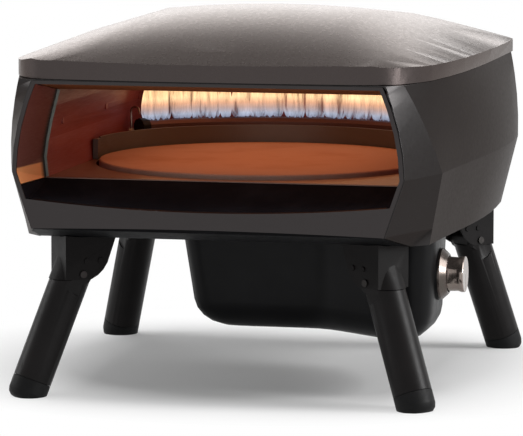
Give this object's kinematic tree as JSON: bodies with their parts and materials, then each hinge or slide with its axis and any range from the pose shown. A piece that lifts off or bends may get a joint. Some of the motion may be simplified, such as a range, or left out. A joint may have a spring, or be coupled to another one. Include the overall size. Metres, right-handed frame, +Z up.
{
  "type": "portable pizza oven",
  "caption": "Gas-fired portable pizza oven with a bowed dark metal body, a wide open mouth, a turning stone and four folding legs.",
  "frame": {"origin": "on the floor, under the middle of the box round the whole oven", "axes": "+Z up, -Y out of the mouth, +X to the side with the gas knob"},
  "size_m": [0.4572, 0.5024, 0.37],
  "materials": {
    "shell_paint": "satin metallic warm grey enamel",
    "frame_paint": "satin metallic warm grey enamel",
    "pan_paint": "matt black heat-proof paint",
    "wool": "matt ceramic-fibre blanket",
    "chamber_steel": "heat-tinted stainless steel",
    "cheek_steel": "heat-tinted stainless steel",
    "apron_enamel": "satin black enamel",
    "floor_steel": "heat-tinted stainless steel",
    "stone": "matt unglazed baking stone",
    "bare_steel": "brushed stainless steel",
    "brass": "turned brass",
    "motor_plastic": "fine-grained black moulding",
    "deflector_steel": "heat-darkened stainless steel",
    "burner_steel": "heat-darkened stainless steel",
    "ceramic": "matt white ceramic",
    "housing_paint": "satin black powder coat",
    "bezel_steel": "satin bronze-tinted steel",
    "knob_steel": "satin bronze-tinted steel",
    "bracket_paint": "satin black powder coat",
    "leg_paint": "satin black-brown powder coat",
    "rubber": "matt moulded rubber"
  },
  "bodies": {
    "oven_body": {"outer_shell": "shell_paint", "front_frame": "frame_paint", "lid": "shell_paint", "base_pan": "pan_paint", "roof_insulation": "wool", "chamber_roof": "chamber_steel", "liner_right": "chamber_steel", "liner_left": "chamber_steel", "liner_back": "chamber_steel", "cheek_liner_right": "cheek_steel", "cheek_liner_left": "cheek_steel", "front_apron": "apron_enamel", "floor_plate": "floor_steel", "shaft_bush": "brass", "gear_motor": "motor_plastic", "battery_box": "motor_plastic", "flame_deflector": "deflector_steel", "burner_tube": "burner_steel", "burner_cup": "burner_steel", "burner_saddle_1": "burner_steel", "burner_saddle_2": "burner_steel", "burner_saddle_3": "burner_steel", "igniter_insulator": "ceramic", "igniter_rod": "bare_steel", "mixing_tube": "bare_steel", "housing": "housing_paint", "gas_valve": "brass", "gas_pipe": "brass", "gas_inlet": "brass", "knob_bezel": "bezel_steel", "leg_bracket_front_right": "bracket_paint", "leg_bracket_front_left": "bracket_paint", "leg_pin_front_right": "bare_steel", "leg_pin_front_left": "bare_steel", "leg_bracket_back_right": "bracket_paint", "leg_bracket_back_left": "bracket_paint", "leg_pin_back_right": "bare_steel", "leg_pin_back_left": "bare_steel"},
    "turntable": {"pizza_stone": "stone", "turntable_carrier": "bare_steel", "drive_shaft": "bare_steel"},
    "valve_plunger": {"valve_plunger": "bare_steel"},
    "gas_knob": {"gas_knob": "knob_steel", "valve_stem": "bare_steel"},
    "leg_front_right": {"leg_front_right": "leg_paint", "foot_front_right": "rubber"},
    "leg_front_left": {"leg_front_left": "leg_paint", "foot_front_left": "rubber"},
    "leg_back_right": {"leg_back_right": "leg_paint", "foot_back_right": "rubber"},
    "leg_back_left": {"leg_back_left": "leg_paint", "foot_back_left": "rubber"}
  },
  "joints": [
    {"name": "stone_turn", "type": "hinge", "parent": "oven_body", "child": "turntable", "pos_m": [0, 0.00326, 0.2117], "axis": [0, 0, 1], "continuous": true},
    {"name": "knob_push", "type": "slide", "parent": "oven_body", "child": "valve_plunger", "axis": [-1, 0, 0], "range_m": [0, 0.004], "stiffness_N_per_m": 400},
    {"name": "knob_turn", "type": "hinge", "parent": "valve_plunger", "child": "gas_knob", "pos_m": [0.20974, -0.07344, 0.1165], "axis": [1, 0, 0], "range_deg": [-180, 0]},
    {"name": "front_right_fold", "type": "hinge", "parent": "oven_body", "child": "leg_front_right", "pos_m": [0.1508, -0.15893, 0.1185], "axis": [0.6018, 0.7986, 0], "range_deg": [0, 112]},
    {"name": "front_left_fold", "type": "hinge", "parent": "oven_body", "child": "leg_front_left", "pos_m": [-0.1508, -0.15893, 0.1185], "axis": [0.6018, -0.7986, 0], "range_deg": [0, 112]},
    {"name": "back_right_fold", "type": "hinge", "parent": "oven_body", "child": "leg_back_right", "pos_m": [0.17685, 0.19396, 0.1185], "axis": [-0.766, 0.6428, 0], "range_deg": [0, 112]},
    {"name": "back_left_fold", "type": "hinge", "parent": "oven_body", "child": "leg_back_left", "pos_m": [-0.17685, 0.19396, 0.1185], "axis": [-0.766, -0.6428, 0], "range_deg": [0, 112]}
  ]
}
